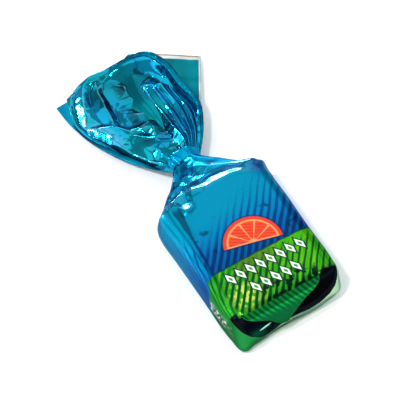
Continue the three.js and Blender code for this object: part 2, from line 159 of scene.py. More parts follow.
# Creases of the upper fan layer: share across, share out from the neck, and height in millimetres.
UPPER_CREASES = {
    "rim_line": [
        (0.295, 0.924, 0.0), (0.391, 0.933, 0.0), (0.478, 0.943, 0.0), (0.592, 0.948, 0.0),
        (0.761, 0.93, 0.0), (0.911, 0.91, 0.0), (0.954, 0.8, 0.0), (0.94, 0.618, 0.1), (0.948, 0.448, 0.1),
    ],
    "wall_foot": [
        (0.345, 0.9, 0.1), (0.452, 0.907, -0.2), (0.542, 0.9, -0.5), (0.634, 0.856, -0.8),
        (0.742, 0.853, -0.5), (0.793, 0.79, -0.9), (0.861, 0.774, -0.4),
    ],
    "outer_left": [(0.07, 0.966, 0.15), (0.02, 0.9, 0.3), (0.012, 0.79, 0.2)],
    "left_valley": [(0.114, 0.967, -0.15), (0.064, 0.891, -0.35), (0.036, 0.765, -0.3)],
    "left_crest": [(0.189, 0.957, 0.3), (0.153, 0.867, 0.65), (0.12, 0.764, 0.7), (0.08, 0.725, 0.5)],
    "left_hollow": [(0.243, 0.927, -0.1), (0.206, 0.868, -0.45), (0.189, 0.771, -0.3), (0.16, 0.66, -0.35)],
    "small_ridge": [(0.235, 0.788, 0.15), (0.2, 0.684, 0.2)],
    "up_crease": [
        (0.276, 0.92, 0.5), (0.279, 0.854, 0.75), (0.282, 0.767, 0.9), (0.245, 0.665, 0.8),
        (0.192, 0.578, 0.7), (0.13, 0.5, 0.4),
    ],
    "beside_crease": [
        (0.306, 0.844, 0.05), (0.318, 0.758, -0.1), (0.285, 0.652, -0.35), (0.236, 0.582, -0.4),
    ],
    "wide_facet": [(0.392, 0.87, 0.1), (0.375, 0.73, 0.2), (0.325, 0.684, -0.1)],
    "glint_ridge": [(0.448, 0.87, -0.1), (0.479, 0.835, 0.45), (0.479, 0.775, 0.3)],
    "beyond_glint": [(0.514, 0.86, -0.5), (0.519, 0.801, -0.35), (0.505, 0.745, 0.15)],
    "dark_facet": [
        (0.388, 0.71, 0.25), (0.471, 0.727, 0.45), (0.531, 0.668, 0.1), (0.498, 0.625, -0.55),
        (0.413, 0.661, -0.05), (0.388, 0.71, 0.25),
    ],
    "second_ridge": [(0.579, 0.85, -0.2), (0.574, 0.79, 0.2), (0.559, 0.73, -0.3)],
    "crest": [
        (0.639, 0.82, 0.1), (0.621, 0.768, 0.7), (0.605, 0.695, 0.7), (0.582, 0.582, 0.85),
        (0.561, 0.459, 0.8), (0.548, 0.333, 0.75), (0.597, 0.144, 0.5), (0.6, 0.04, 0.2),
    ],
    "beside_crest": [
        (0.552, 0.7, -0.5), (0.535, 0.61, -0.6), (0.518, 0.541, -0.55), (0.476, 0.415, -0.6),
        (0.448, 0.279, -0.45), (0.5, 0.13, -0.3),
    ],
    "wave_top": [(0.33, 0.638, 0.2), (0.393, 0.598, 0.5), (0.486, 0.588, 0.25)],
    "wave_low": [(0.258, 0.581, -0.15), (0.28, 0.545, -0.35), (0.361, 0.534, -0.45), (0.472, 0.53, -0.2)],
    "wave_fold": [(0.236, 0.506, 0.35), (0.312, 0.491, 0.3), (0.416, 0.504, 0.45), (0.462, 0.485, 0.1)],
    "facet_left": [(0.2, 0.49, 0.1), (0.14, 0.442, -0.15)],
    "facet_middle": [(0.326, 0.452, -0.45), (0.278, 0.396, 0.3), (0.166, 0.369, 0.25)],
    "facet_right": [(0.402, 0.451, 0.5), (0.336, 0.376, 0.2), (0.299, 0.303, 0.5)],
    "facet_low": [(0.169, 0.318, -0.25), (0.11, 0.278, -0.2)],
    "facet_neck": [(0.23, 0.3, 0.35), (0.292, 0.259, 0.15), (0.186, 0.206, 0.3)],
    "lip_crest": [
        (0.055, 0.69, 0.6), (0.096, 0.64, 0.95), (0.108, 0.565, 1.0), (0.088, 0.481, 0.7),
        (0.055, 0.401, 0.4), (0.055, 0.298, 0.3), (0.09, 0.15, 0.2),
    ],
    "lip_hollow": [
        (0.029, 0.678, -0.2), (0.037, 0.591, -0.35), (0.04, 0.501, -0.5), (0.02, 0.403, -0.5),
        (0.022, 0.293, -0.4),
    ],
}

# ---------------------------------------------------------------- plain helpers


def mix(a, b, k):
    return a + (b - a) * k


def smooth(low, high, x):
    """0 below low, 1 above high and an even change in between."""
    k = np.clip((x - low) / (high - low), 0, 1)
    return k * k * (3 - 2 * k)


def hill(x, middle, width):
    """1 at the middle, falling away to 0 on both sides."""
    return np.exp(-(((x - middle) / width) ** 2))


def along(points, share):
    """A smooth line through points; share runs from 0 to 1. Gives one row of x, y, z for each share."""
    points = np.array(points, float)
    last = len(points) - 1
    share = np.atleast_1d(share)
    n = np.clip(np.floor(share * last).astype(int), 0, last - 1)
    k = (share * last - n)[:, None]
    here, there = points[n], points[n + 1]
    leave = (there - points[np.maximum(n - 1, 0)]) / 2
    arrive = (points[np.minimum(n + 2, last)] - here) / 2
    return mix(here, there, k * k * (3 - 2 * k)) + k * (1 - k) * ((1 - k) * leave - k * arrive)


def normals(grid):
    """Unit normals of rings of points, one ring to a row."""
    step = np.roll(grid, -1, 1) - np.roll(grid, 1, 1)
    out = np.cross(step, np.gradient(grid, axis=0))
    return out / np.maximum(np.linalg.norm(out, axis=2, keepdims=True), 1e-9)


def soften(grid, times, closed=False):
    """Averages each value of a height grid with its neighbours, so that creases aren't razor sharp."""
    for _ in range(times):
        wide = np.pad(grid, ((0, 0), (1, 1)), mode="wrap" if closed else "edge")
        grid = (wide[:, :-2] + 2 * grid + wide[:, 2:]) / 4
        high = np.pad(grid, ((1, 1), (0, 0)), mode="edge")
        grid = (high[:-2] + 2 * grid + high[2:]) / 4
    return grid


def sharp_part(relief, closed=False):
    """How far each point stands above the film just around it, so from valley lines to crest lines."""
    return soften(relief, 1, closed) - soften(relief, 14, closed)


def crumple(u, v, seed, size, ways=5):
    """Flat facets with creases between them, about `size` across, as crumpled film has. From -1 to 1."""
    draw = np.random.default_rng(seed)
    total = 0
    for _ in range(ways):
        angle, shift, reach = draw.uniform(0, math.pi), draw.uniform(0, 1), size * draw.uniform(0.8, 1.7)
        lean = draw.uniform(-1, 1)
        p = u * math.cos(angle) + v * math.sin(angle)
        q = v * math.cos(angle) - u * math.sin(angle)
        p = p + lean * 0.3 * size * np.sin(q / (1.7 * size) + 6 * shift)
        total = total + reach * (2 * np.abs((p / reach + shift) % 1 * 2 - 1) - 1)
    return total / (ways * size * 1.25)


def creased(lines, x, y, corners):
    """Heights over a film that lie in flat facets between the creases, and are 0 at the corners."""
    places, heights, edges = [], [], []
    for line in lines:
        edges += [(n, n + 1) for n in range(len(places), len(places) + len(line) - 1)]
        places += [Vector(point[:2]) for point in line]
        heights += [point[2] for point in line]
    for corner in corners:
        places.append(Vector(corner))
        heights.append(0.0)
    spots, _, faces, origins, _, _ = delaunay_2d_cdt(places, edges, [], 0, 1e-5)
    spot_height = [np.mean([heights[n] for n in came]) if came else 0.0 for came in origins]
    result = np.zeros_like(x)
    for face in faces:
        a, b, c = (spots[n] for n in face)
        area = (b.x - a.x) * (c.y - a.y) - (c.x - a.x) * (b.y - a.y)
        if abs(area) < 1e-9:
            continue
        kb = ((x - a.x) * (c.y - a.y) - (c.x - a.x) * (y - a.y)) / area
        kc = ((b.x - a.x) * (y - a.y) - (x - a.x) * (b.y - a.y)) / area
        within = (kb >= -1e-6) & (kc >= -1e-6) & (kb + kc <= 1 + 1e-6)
        ha, hb, hc = (spot_height[n] for n in face)
        result[within] = (ha + kb * (hb - ha) + kc * (hc - ha))[within]
    return result


def pleats(where, out, marks):
    """Straight creases between ridges and valleys. Each mark is a place across, how far it drifts on the way
    out, its height, and the shares of the way where it starts and ends."""
    height = np.zeros_like(where)
    for row in range(where.shape[0]):
        t = out[row, 0]
        now = []
        for at, drift, high, first, last in marks:
            rise = smooth(first - 0.12, first + 0.12, t) * (1 - smooth(last - 0.2, last + 0.1, t))
            now.append((at + drift * t, high * float(rise)))
        now.sort()
        height[row] = np.interp(where[row], [mark[0] for mark in now], [mark[1] for mark in now])
    return height


def mesh_object(name, points, faces, uv=None, **fields):
    """A smooth mesh from points in millimetres, with a UV per point and any number fields per point."""
    mesh = bpy.data.meshes.new(name)
    mesh.from_pydata((np.asarray(points) * MM).tolist(), [], [list(map(int, f)) for f in faces])
    mesh.validate()
    corner = np.zeros(len(mesh.loops), np.int32)
    mesh.loops.foreach_get("vertex_index", corner)
    if uv is not None:
        layer = mesh.uv_layers.new(name="film")
        layer.data.foreach_set("uv", (np.asarray(uv)[corner] / UV_MM).astype(np.float32).ravel())
    for key, values in fields.items():
        field = mesh.attributes.new(key, "FLOAT", "POINT")
        field.data.foreach_set("value", np.asarray(values, np.float32).ravel())
    mesh.shade_smooth()
    made = bpy.data.objects.new(name, mesh)
    bpy.context.scene.collection.objects.link(made)
    return made


def grid_faces(rows, columns, closed=False, start=0, flip=False):
    """Four-sided faces of a grid of points that is numbered row by row."""
    j, i = np.mgrid[0 : rows - 1, 0 : columns if closed else columns - 1]
    here = start + j * columns
    there = here + columns
    beside = (i + 1) % columns
    quads = np.stack([here + i, here + beside, there + beside, there + i], -1).reshape(-1, 4)
    return (quads[:, ::-1] if flip else quads).tolist()


# ---------------------------------------------------------------- the wrapped block


def block_section(share, half_width, half_depth, radius):
    """x and z round a rounded rectangle, from the middle of its top towards +X."""
    top, side, arc = WIDTH / 2 - SIDE_RADIUS, DEPTH - 2 * SIDE_RADIUS, math.pi / 2 * SIDE_RADIUS
    ends = np.cumsum([0, top, arc, side, arc, 2 * top, arc, side, arc, top])
    place = share * ends[-1]
    angle = math.pi / 2 - np.interp(place, ends, [0, 0, 1, 1, 2, 2, 3, 3, 4, 4]) * math.pi / 2
    x = np.interp(place, ends, [0, 1, 1, 1, 1, -1, -1, -1, -1, 0]) * (half_width - radius)
    z = np.interp(place, ends, [1, 1, 1, -1, -1, -1, -1, 1, 1, 1]) * (half_depth - radius)
    return x + radius * np.cos(angle), z + radius * np.sin(angle)


PERIMETER = 4 * (WIDTH / 2 - SIDE_RADIUS) + 2 * (DEPTH - 2 * SIDE_RADIUS) + 2 * math.pi * SIDE_RADIUS


def leaning(x, y, z):
    """x, where the sides lean in towards the label and part towards the shoulder."""
    spread = 1 + SHOULDER_SPREAD * smooth(-0.3, 1, y / HALF)
    return x * (1 - DRAFT * z / (DEPTH / 2)) * spread


def end_lean(x, y, z):
    """How far the leaning ends carry a point out along Y."""
    left, right = FOLDED_LEAN if y < 0 else SHOULDER_LEAN
    share = smooth(0, 1, abs(y) / HALF)
    rightward = x / WIDTH + 0.5
    skew = SHOULDER_SKEW * rightward if y > 0 else 0
    return math.copysign(1, y) * share * (mix(left, right, rightward) * (0.5 - z / DEPTH) + skew)


def label_crown(x, y, z):
    """How far the label bulges up."""
    across, lengthwise = 1 - (x / (WIDTH / 2)) ** 2, 1 - (y / HALF) ** 2
    return LABEL_CROWN * across * lengthwise * smooth(0, DEPTH / 2 - SIDE_RADIUS, z)


def block_ring(share, y, inset):
    """A ring of points round the block at y, drawn in by the inset."""
    x, z = block_section(share, WIDTH / 2 - inset, DEPTH / 2 - inset, max(SIDE_RADIUS - 0.4 * inset, 0.8))
    swell = np.sign(x) * SIDE_SWELL * (1 - (y / HALF) ** 2) * (1 - (z / (DEPTH / 2)) ** 2)
    swell = swell * smooth(0.8, 1, np.abs(x) / (WIDTH / 2))
    up = z + DEPTH / 2 + label_crown(x, y, z)
    return np.stack([leaning(x, y, z) + swell, y + end_lean(x, y, z), up], -1)


def shoulder_ring(share, k):
    """A ring between the block's far edge, where k is 0, and the round neck, where k is 1."""
    turned = math.pi / 2 * SHOULDER_START
    inset = END_RADIUS * (1 - math.cos(turned))
    y = HALF - END_RADIUS + END_RADIUS * math.sin(turned)
    x, z = block_section(share, WIDTH / 2 - inset, DEPTH / 2 - inset, SIDE_RADIUS - 0.4 * inset)
    z = z + label_crown(x, y, z) * (1 - smooth(0, 0.3, k))
    angle = math.pi / 2 - share * 2 * math.pi
    shrink = 1 - SHOULDER_HOLLOW * math.sin(math.pi * k) / (WIDTH / 2)
    across = mix(leaning(x, y, z), NECK["half_width"] * np.cos(angle), k) * shrink
    forth = mix(y + end_lean(x, y, z), NECK["y"], k)
    up = mix(DEPTH / 2, NECK["z"], k) + mix(z, NECK["half_depth"] * np.sin(angle), k) * shrink
    return np.stack([across, forth, up], -1)


def edge_line(edge, x):
    return np.interp(x, [point[0] for point in edge], [point[1] for point in edge])


def end_relief(x, z):
    """How far the folded end stands out: the middle flap, two tucked corners and the rim that is drawn in."""
    below_flap = edge_line(FLAP_EDGE, x) - z
    above_rim = z - edge_line(RIM_EDGE, x)
    flap = 0.28 * (1 - smooth(-0.1, 0.1, below_flap))
    tucked = smooth(0.0, 0.9, below_flap) * smooth(-0.1, 1.2, above_rim)
    drawn_in = 1.0 + 1.5 * hill(x, -1.6, 3.2) + 0.6 * smooth(7, 11, x)
    drawn_in = drawn_in * (1 - smooth(0.2, 4.6, z)) * smooth(-11.4, -8.6, x)
    return flap - 0.5 * tucked - drawn_in


def folded_end_rings(share):
    """Rings from the middle of the folded end out and round its edge, each with its v along the film. The
    flat ones have none."""
    rim = block_ring(share, -HALF, END_RADIUS)
    middle = rim.mean(0)
    for k in np.linspace(0.02, 1, 38)[:-1]:
        ring = middle + (rim - middle) * [k, 1, k]
        ring[:, 1] = -HALF + end_lean(ring[:, 0], -HALF, ring[:, 2] - DEPTH / 2)
        ring[:, 1] -= end_relief(ring[:, 0], ring[:, 2])
        yield ring, None
    for a in np.linspace(0, math.pi / 2, 9):
        ring = block_ring(share, -HALF + END_RADIUS * (1 - math.cos(a)), END_RADIUS * (1 - math.sin(a)))
        ring[:, 1] -= end_relief(ring[:, 0], ring[:, 2]) * math.cos(a)
        yield ring, -HALF + END_RADIUS * (1 - math.pi / 2 + a)


def straight_rings(share):
    """Rings along the block, up to where its far edge has begun to round over."""
    straight = HALF - END_RADIUS
    for y in np.linspace(-straight, straight, 118)[1:]:
        yield block_ring(share, y, 0), y
    for a in np.linspace(0, math.pi / 2 * SHOULDER_START, 5)[1:-1]:
        ring = block_ring(share, straight + END_RADIUS * math.sin(a), END_RADIUS * (1 - math.cos(a)))
        yield ring, straight + END_RADIUS * a


def gathered_rings(share, from_v):
    """Rings of the shoulder, which draws in, and of the neck, which flares a little."""
    neck_v = HALF + SHOULDER_FILM
    for k in np.linspace(0, 1, SHOULDER_ROWS):
        yield shoulder_ring(share, k), mix(from_v, neck_v, k)
    for y in np.linspace(0, NECK["length"], 12)[1:]:
        ring = shoulder_ring(share, 1)
        scale = 1 + NECK["flare"] * y
        ring[:, 0] *= scale
        ring[:, 1] += y
        ring[:, 2] = NECK["z"] + (ring[:, 2] - NECK["z"]) * scale
        yield ring, neck_v + y


def film_map(rings, share):
    """u across and v along for each point of the rings, in millimetres of film. Over the flat end, v goes on
    down as the film does."""
    u = np.where(share > 0.5, share - 1, share) * PERIMETER
    rows = []
    for ring, v in rings:
        if v is None:
            rows.append(np.stack([ring[:, 0], -HALF - END_DROP - (DEPTH - ring[:, 2])], -1))
        else:
            rows.append(np.stack([u, np.full(AROUND, v)], -1))
    return np.array(rows)


def gathered_creases(draw):
    """Creases up and down by turns: along the shoulder's sides and underside, then all round the neck."""
    lines = []
    for n, u in enumerate([*np.arange(-33.5, -21, 2.9), *np.arange(16.5, 33.5, 2.9)]):
        up = 1 if n % 2 else -1
        start = draw.uniform(16.5, 21)
        bent = u + draw.uniform(-0.5, 0.5)
        lines.append([(bent, start, 0.0), (u, 24, up * draw.uniform(0.25, 0.5)), (u, 27.2, up * 0.3)])
    for n in range(13):
        up = 1 if n % 2 else -1
        u = -30 + 5.4 * n
        lines.append([(u, 30.2, up * draw.uniform(0.1, 0.25)), (u - 4.5, 32.4, up * draw.uniform(0.1, 0.25))])
    return lines


def left_crease(u, v):
    """How far a place lies to the right of the taut crease that runs down the label's left edge."""
    return u + 9.6 + 0.09 * (8.0 - v)


def swells(u, v):
    """Shallow dents and swellings: the waist of the shoulder, and the full sides of the block."""
    waist = 0.7 * hill(u, 11.5, 3) * hill(v, 15.5, 2.5) - 0.4 * hill(u, 13, 4) * hill(v, 22.5, 4)
    waist = waist + 0.9 * hill(u, -17, 5) * hill(v, 12.5, 3.5) - 0.5 * hill(u, -12, 6) * hill(v, 24.5, 3)
    right, left = (smooth(9, 12, side) * (1 - smooth(22, 24, side)) for side in (u, -u))
    return waist + (right * 0.25 + left * 0.4) * smooth(-15, -9, v) * (1 - smooth(4, 15, v))


def block_relief(u, v, out):
    """Folds and creases as a height over the smooth form, and how sharp they are. out is the share of the way
    down the shoulder."""
    lines = list(BLOCK_CREASES.values()) + gathered_creases(np.random.default_rng(5))
    rest = [(rest_u, rest_v) for rest_u in range(-36, 37, 6) for rest_v in (-30, 9, 34)]
    relief = creased(lines, u, v, rest) * smooth(9, 11, v)

    shoulder = smooth(15, 19, v)
    gathered = shoulder * (1 - smooth(-1, 2.5, u) * (1 - smooth(12, 16, u)))
    taut = smooth(-4.5, -2, u) * (1 - smooth(10, 13, u)) * (1 - smooth(19, 20.5, v))
    broad = shoulder * (1 - taut) * 0.04 * crumple(u * mix(1, 0.4, out), v, 21, 2.4)
    relief += broad + gathered * 0.09 * crumple(u * mix(1, 0.5, out), v, 23, 1.7)

    body = smooth(-HALF, -14, v) * (1 - smooth(12, HALF, v))
    relief += body * 0.035 * crumple(u, v * 0.6, 8, 5.5)
    side_face = body * smooth(11.2, 13.5, np.abs(u)) * (1 - smooth(22, 24, np.abs(u)))
    relief += side_face * 0.07 * crumple(u * 1.2, v * 0.5, 17, 4.2)
    groove = -0.22 * hill(left_crease(u, v), 0, mix(0.35, 0.9, smooth(3, 13, v)))
    relief += groove * smooth(-6, 2, v) * (1 - smooth(14, 15, v))
    return soften(relief, 2, closed=True) + swells(u, v), sharp_part(relief, closed=True)


def wrapped_block():
    """The folded end, the block, the shoulder and the neck, as one closed skin of rings."""
    share = np.arange(AROUND) / AROUND
    rings = [*folded_end_rings(share), *straight_rings(share)]
    shoulder_from = len(rings)
    rings += gathered_rings(share, rings[-1][1] + 0.1)
    rows = len(rings)
    grid = np.array([ring for ring, _ in rings])
    uv = film_map(rings, share)
    out = np.clip((np.arange(rows) - shoulder_from) / (SHOULDER_ROWS - 1), 0, 1.12)
    out = out[:, None] * np.ones((1, AROUND))
    relief, sharp = block_relief(uv[..., 0], uv[..., 1], out)
    floor_gap = smooth(0.0, 1.2, grid[..., 2])  # the underside stays flat where the candy rests
    relief = relief * np.where(out > 0.05, 1, floor_gap)
    grid = grid + normals(grid) * relief[..., None]
    faces = grid_faces(rows, AROUND, closed=True)
    faces.append(list(range(AROUND))[::-1])
    faces.append([(rows - 1) * AROUND + n for n in range(AROUND)])
    return mesh_object("wrapped_block", grid.reshape(-1, 3), faces, uv.reshape(-1, 2), sharp=sharp)


# ---------------------------------------------------------------- the fan


def stretched(layer, s, t):
    """The surface between a layer's four edges: s runs from left to right and t outwards."""
    left, right = along(layer["left"], t)[:, None, :], along(layer["right"], t)[:, None, :]
    far = along(layer["far"], s)[None, :, :]
    root_left, root_right = np.array(layer["left"][0], float), np.array(layer["right"][0], float)
    far_left, far_right = np.array(layer["far"][0], float), np.array(layer["far"][-1], float)
    s3, t3 = s[None, :, None], t[:, None, None]
    root = mix(root_left, root_right, s3)
    arched = root + layer["rise"] * np.sin(math.pi * s3) * [0, 0, 1]
    return mix(arched, far, t3) + mix(left, right, s3) - mix(root, mix(far_left, far_right, s3), t3)


def scoop(s, t):
    """The hollow in the upper layer, between its steep far and right walls."""
    dip = SCOOP["depth"] * smooth(SCOOP["start"], SCOOP["full"], t) * smooth(0.12, 0.6, s)
    return -dip * (1 - smooth(SCOOP["far_wall"], 0.96, t)) * (1 - smooth(SCOOP["right_wall"], 1, s))


def film_layer(name, layer, columns, rows, relief_of):
    """A layer of film as a thin closed mesh, thick and bundled at the neck."""
    s, t = np.linspace(0, 1, columns), np.linspace(0, 1, rows)
    across, out = np.meshgrid(s, t)
    top = stretched(layer, s, t)
    height, sharp = relief_of(across, out, top[..., 0], top[..., 1])
    top[..., 2] = np.maximum(top[..., 2] + height, LEAST_HEIGHT["top"])
    bundle = layer["gathered"] * np.sqrt(np.maximum(1 - (2 * across - 1) ** 2, 0))
    deep = np.maximum(mix(bundle, FILM, smooth(0, 0.3, out)), FILM)
    bottom = top.copy()
    bottom[..., 2] = np.maximum(top[..., 2] - deep, LEAST_HEIGHT["bottom"])
    count = rows * columns
    points = np.concatenate([top.reshape(-1, 3), bottom.reshape(-1, 3)])
    faces = grid_faces(rows, columns) + grid_faces(rows, columns, start=count, flip=True)
    border = [*range(columns), *range(2 * columns - 1, count, columns)]
    border += [*range(count - 2, count - columns - 1, -1), *range(count - 2 * columns, 0, -columns)]
    for a, b in zip(border, border[1:] + border[:1]):
        faces.append([b, a, a + count, b + count])
    uv = np.stack([across * FAN_SHEET[0], out * FAN_SHEET[1]], -1).reshape(-1, 2)
    return mesh_object(name, points, faces, np.concatenate([uv, uv]), sharp=np.concatenate([sharp, sharp]))


def upper_relief(across, out, x, y):
    """The upper layer: flat facets on the left and in the bowl, close curved pleats on the right."""
    wide, long = CREASE_SHEET
    lines = list(UPPER_CREASES.values())
    draw = np.random.default_rng(12)
    crest = sorted((t, s) for s, t, _ in UPPER_CREASES["crest"])
    count = 8
    for n in range(1, count):  # pleats between the crest and the right edge
        up = 1 if n % 2 == 0 else -1
        wander, line = 0, []
        for t in (0.75, 0.64, 0.5, 0.36, 0.22, 0.06):
            wander = 0.5 * wander + draw.uniform(-0.006, 0.006)
            near = np.interp(t, [c[0] for c in crest], [c[1] for c in crest])
            high = up * draw.uniform(0.12, 0.42) * mix(0.6, 1, min(t / 0.4, 1))
            line.append((mix(near, 0.935, n / count) + wander, t + draw.uniform(-0.03, 0.03), high))
        lines.append(line)
    for n in range(6):  # short gathers beside the neck
        up = 1 if n % 2 else -1
        line = []
        for t in (0.17, 0.03):
            s = 0.14 + 0.06 * n + draw.uniform(-0.01, 0.01)
            line.append((s, t + draw.uniform(-0.02, 0.02), up * draw.uniform(0.12, 0.24)))
        lines.append(line)
    lines = [[(s * wide, t * long, h) for s, t, h in line] for line in lines]
    marks = (-0.1, 0, 0.5, 1, 1.1)
    rim = [(s * wide, t * long) for s in marks for t in marks if (s, t) != (0.5, 0.5)]
    folded = 1.4 * creased(lines, across * wide, out * long, rim) * smooth(-0.02, 0.06, out)
    fine = 0.07 * crumple(x, y, 81, 1.5) * smooth(0.0, 0.2, out) * (1 - 0.8 * smooth(0.55, 0.7, across))
    bend = 0.12 * crumple(x, y, 62, 5.0, 4)
    drape = 0.7 * hill(across, 0.2, 0.16) * smooth(0.45, 0.8, out)  # the left lobe arches up
    height = soften(folded + fine + bend + drape, 2) + scoop(across, out)
    return height, sharp_part(folded + fine)


def lower_relief(across, out, x, y):
    """The lower layer: nearly flat, with long shallow waves."""
    draw = np.random.default_rng(30)
    marks = [(-0.2, 0, 0, 0, 3)]
    place, up = 0.03, 1
    while place < 0.97:
        drift, high = draw.uniform(-0.02, 0.02), up * draw.uniform(0.1, 0.35)
        marks.append((place, drift, high, 0.0, draw.choice([0.6, 0.9, 1.3])))
        place += draw.uniform(0.04, 0.08)
        up = -up
    marks += [(1.0, 0, 0.05, 0, 3), (1.2, 0, 0, 0, 3)]
    calm = 1 - 0.75 * smooth(0.75, 0.9, across) * smooth(0.5, 0.7, out)
    folded = pleats(across, out, marks) * smooth(0, 0.25, out) * calm
    dimples = 0.12 * crumple(x, y, 91, 5, 4) * smooth(0.1, 0.3, out)
    return soften(folded + dimples, 3), sharp_part(folded + dimples)


# ---------------------------------------------------------------- rolled edges, by geometry nodes


def rolled_film(name, points, sizes, seed):
    """A roll of film along a line: a spiral whose radius swells to the arch, with fine wrinkles across."""
    curve = bpy.data.curves.new(name, "CURVE")
    curve.dimensions = "3D"
    line = curve.splines.new("POLY")
    line.points.add(len(points) - 1)
    line.points.foreach_set("co", np.append(np.asarray(points) * MM, np.ones((len(points), 1)), 1).ravel())
    made = bpy.data.objects.new(name, curve)
    bpy.context.scene.collection.objects.link(made)

    tree = bpy.data.node_groups.new(name + "_rolling", "GeometryNodeTree")
    face = tree.interface
    face.new_socket("Geometry", in_out="INPUT", socket_type="NodeSocketGeometry")
    values = {**sizes, "Seed": seed}
    names = {key: face.new_socket(key, in_out="INPUT", socket_type="NodeSocketFloat") for key in values}
    face.new_socket("Geometry", in_out="OUTPUT", socket_type="NodeSocketGeometry")
    new, join = tree.nodes.new, tree.links.new
    given, end = new("NodeGroupInput").outputs, new("NodeGroupOutput")

    def put(kind, inputs=(), **settings):
        """A node with its settings and inputs; gives its outputs."""
        node = new(kind)
        for key, value in settings.items():
            setattr(node, key, value)
        for key, value in dict(inputs).items():
            if isinstance(value, bpy.types.NodeSocket):
                join(value, node.inputs[key])
            else:
                node.inputs[key].default_value = value
        return node.outputs

    def calc(operation, *values):
        return put("ShaderNodeMath", dict(enumerate(values)), operation=operation)[0]

    def eased(value, low, high, first, last):
        ranges = {"Value": value, "From Min": low, "From Max": high, "To Min": first, "To Max": last}
        return put("ShaderNodeMapRange", ranges, interpolation_type="SMOOTHSTEP")[0]

    share = put("GeometryNodeSplineParameter")["Factor"]
    swell = eased(share, 0.0, 0.4, given["Start radius"], given["Arch radius"])
    thin = eased(share, 0.5, 1.0, 0.0, calc("SUBTRACT", given["End radius"], given["Arch radius"]))
    spine = put("GeometryNodeResampleCurve", {"Curve": given["Geometry"], "Count": ROLL_STEPS})

    # the section: out along a spiral, and back along the same spiral a film's thickness further in
    circle = put("GeometryNodeCurvePrimitiveCircle", {"Resolution": ROLL_SIDES, "Radius": 1.0 * MM})
    inward = calc("SUBTRACT", 1.0, calc("ABSOLUTE", calc("SUBTRACT", calc("MULTIPLY", share, 2.0), 1.0)))
    reach = calc("ADD", calc("MULTIPLY", inward, SPIRAL["growth"]), SPIRAL["start"])
    reach = calc("SUBTRACT", reach, calc("MULTIPLY", calc("GREATER_THAN", share, 0.5), SPIRAL["film"]))
    reach = calc("MULTIPLY", reach, 1.0 * MM)
    turned = calc("MULTIPLY", inward, calc("MULTIPLY", given["Turns"], 2 * math.pi))
    turned_x, turned_y = (calc("MULTIPLY", reach, calc(wave, turned)) for wave in ("COSINE", "SINE"))
    spiral = put("ShaderNodeCombineXYZ", {0: turned_x, 1: turned_y})
    section = put("GeometryNodeSetPosition", {"Geometry": circle[0], "Position": spiral[0]})

    swept = put("GeometryNodeCurveToMesh", {
        "Curve": spine[0], "Profile Curve": section[0], "Scale": calc("ADD", swell, thin), "Fill Caps": True,
    })
    rough = put("ShaderNodeTexNoise", {
        "Vector": put("GeometryNodeInputPosition")[0], "Scale": 900.0, "Detail": 2.0, "W": given["Seed"],
    }, noise_dimensions="4D")
    lift = calc("MULTIPLY", calc("SUBTRACT", rough[0], 0.5), given["Wrinkle"])
    outward = put("GeometryNodeInputNormal")[0]
    push = put("ShaderNodeVectorMath", {0: outward, "Scale": lift}, operation="SCALE")
    moved = put("GeometryNodeSetPosition", {"Geometry": swept[0], "Offset": push[0]})
    real = put("GeometryNodeRealizeInstances", {"Geometry": moved[0]})
    finish = put("GeometryNodeSetMaterial", {"Geometry": real[0], "Material": EDGE_FILM})
    join(finish[0], end.inputs[0])

    modifier = made.modifiers.new("rolling", "NODES")
    modifier.node_group = tree
    for key, value in values.items():
        modifier[names[key].identifier] = float(value)
    bpy.context.view_layer.update()
    depsgraph = bpy.context.evaluated_depsgraph_get()
    flat = bpy.data.meshes.new_from_object(made.evaluated_get(depsgraph))
    bpy.data.objects.remove(made)
    flat.name = name
    flat.shade_smooth()
    result = bpy.data.objects.new(name, flat)
    bpy.context.scene.collection.objects.link(result)
    return result


# ---------------------------------------------------------------- materials
# Places on the film are u across and v along, from the middle of the label, in millimetres.
# x, y and z are places in the row frame, in millimetres too.

FIELD_EDGE = -4.2  # v where the blue field meets the green one
SLICE = {"u": 0.2, "v": -1.9, "scale": 1.24}
LOZENGE_STEP = 2.35
LOZENGE_ROWS = ((-6.9, -9.6, 9.6, 0.0), (-11.0, -5.8, 6.0, 0.5))  # v, first and last u, and shift in steps


def light_of(tone):
    """The light that a (red, green, blue) of 0 to 255 on screen stands for. An ink stays as it is."""
    if isinstance(tone, Ink):
        return tone
    parts = [c / 255 for c in tone]
    return tuple(c / 12.92 if c <= 0.04045 else ((c + 0.055) / 1.055) ** 2.4 for c in parts) + (1.0,)


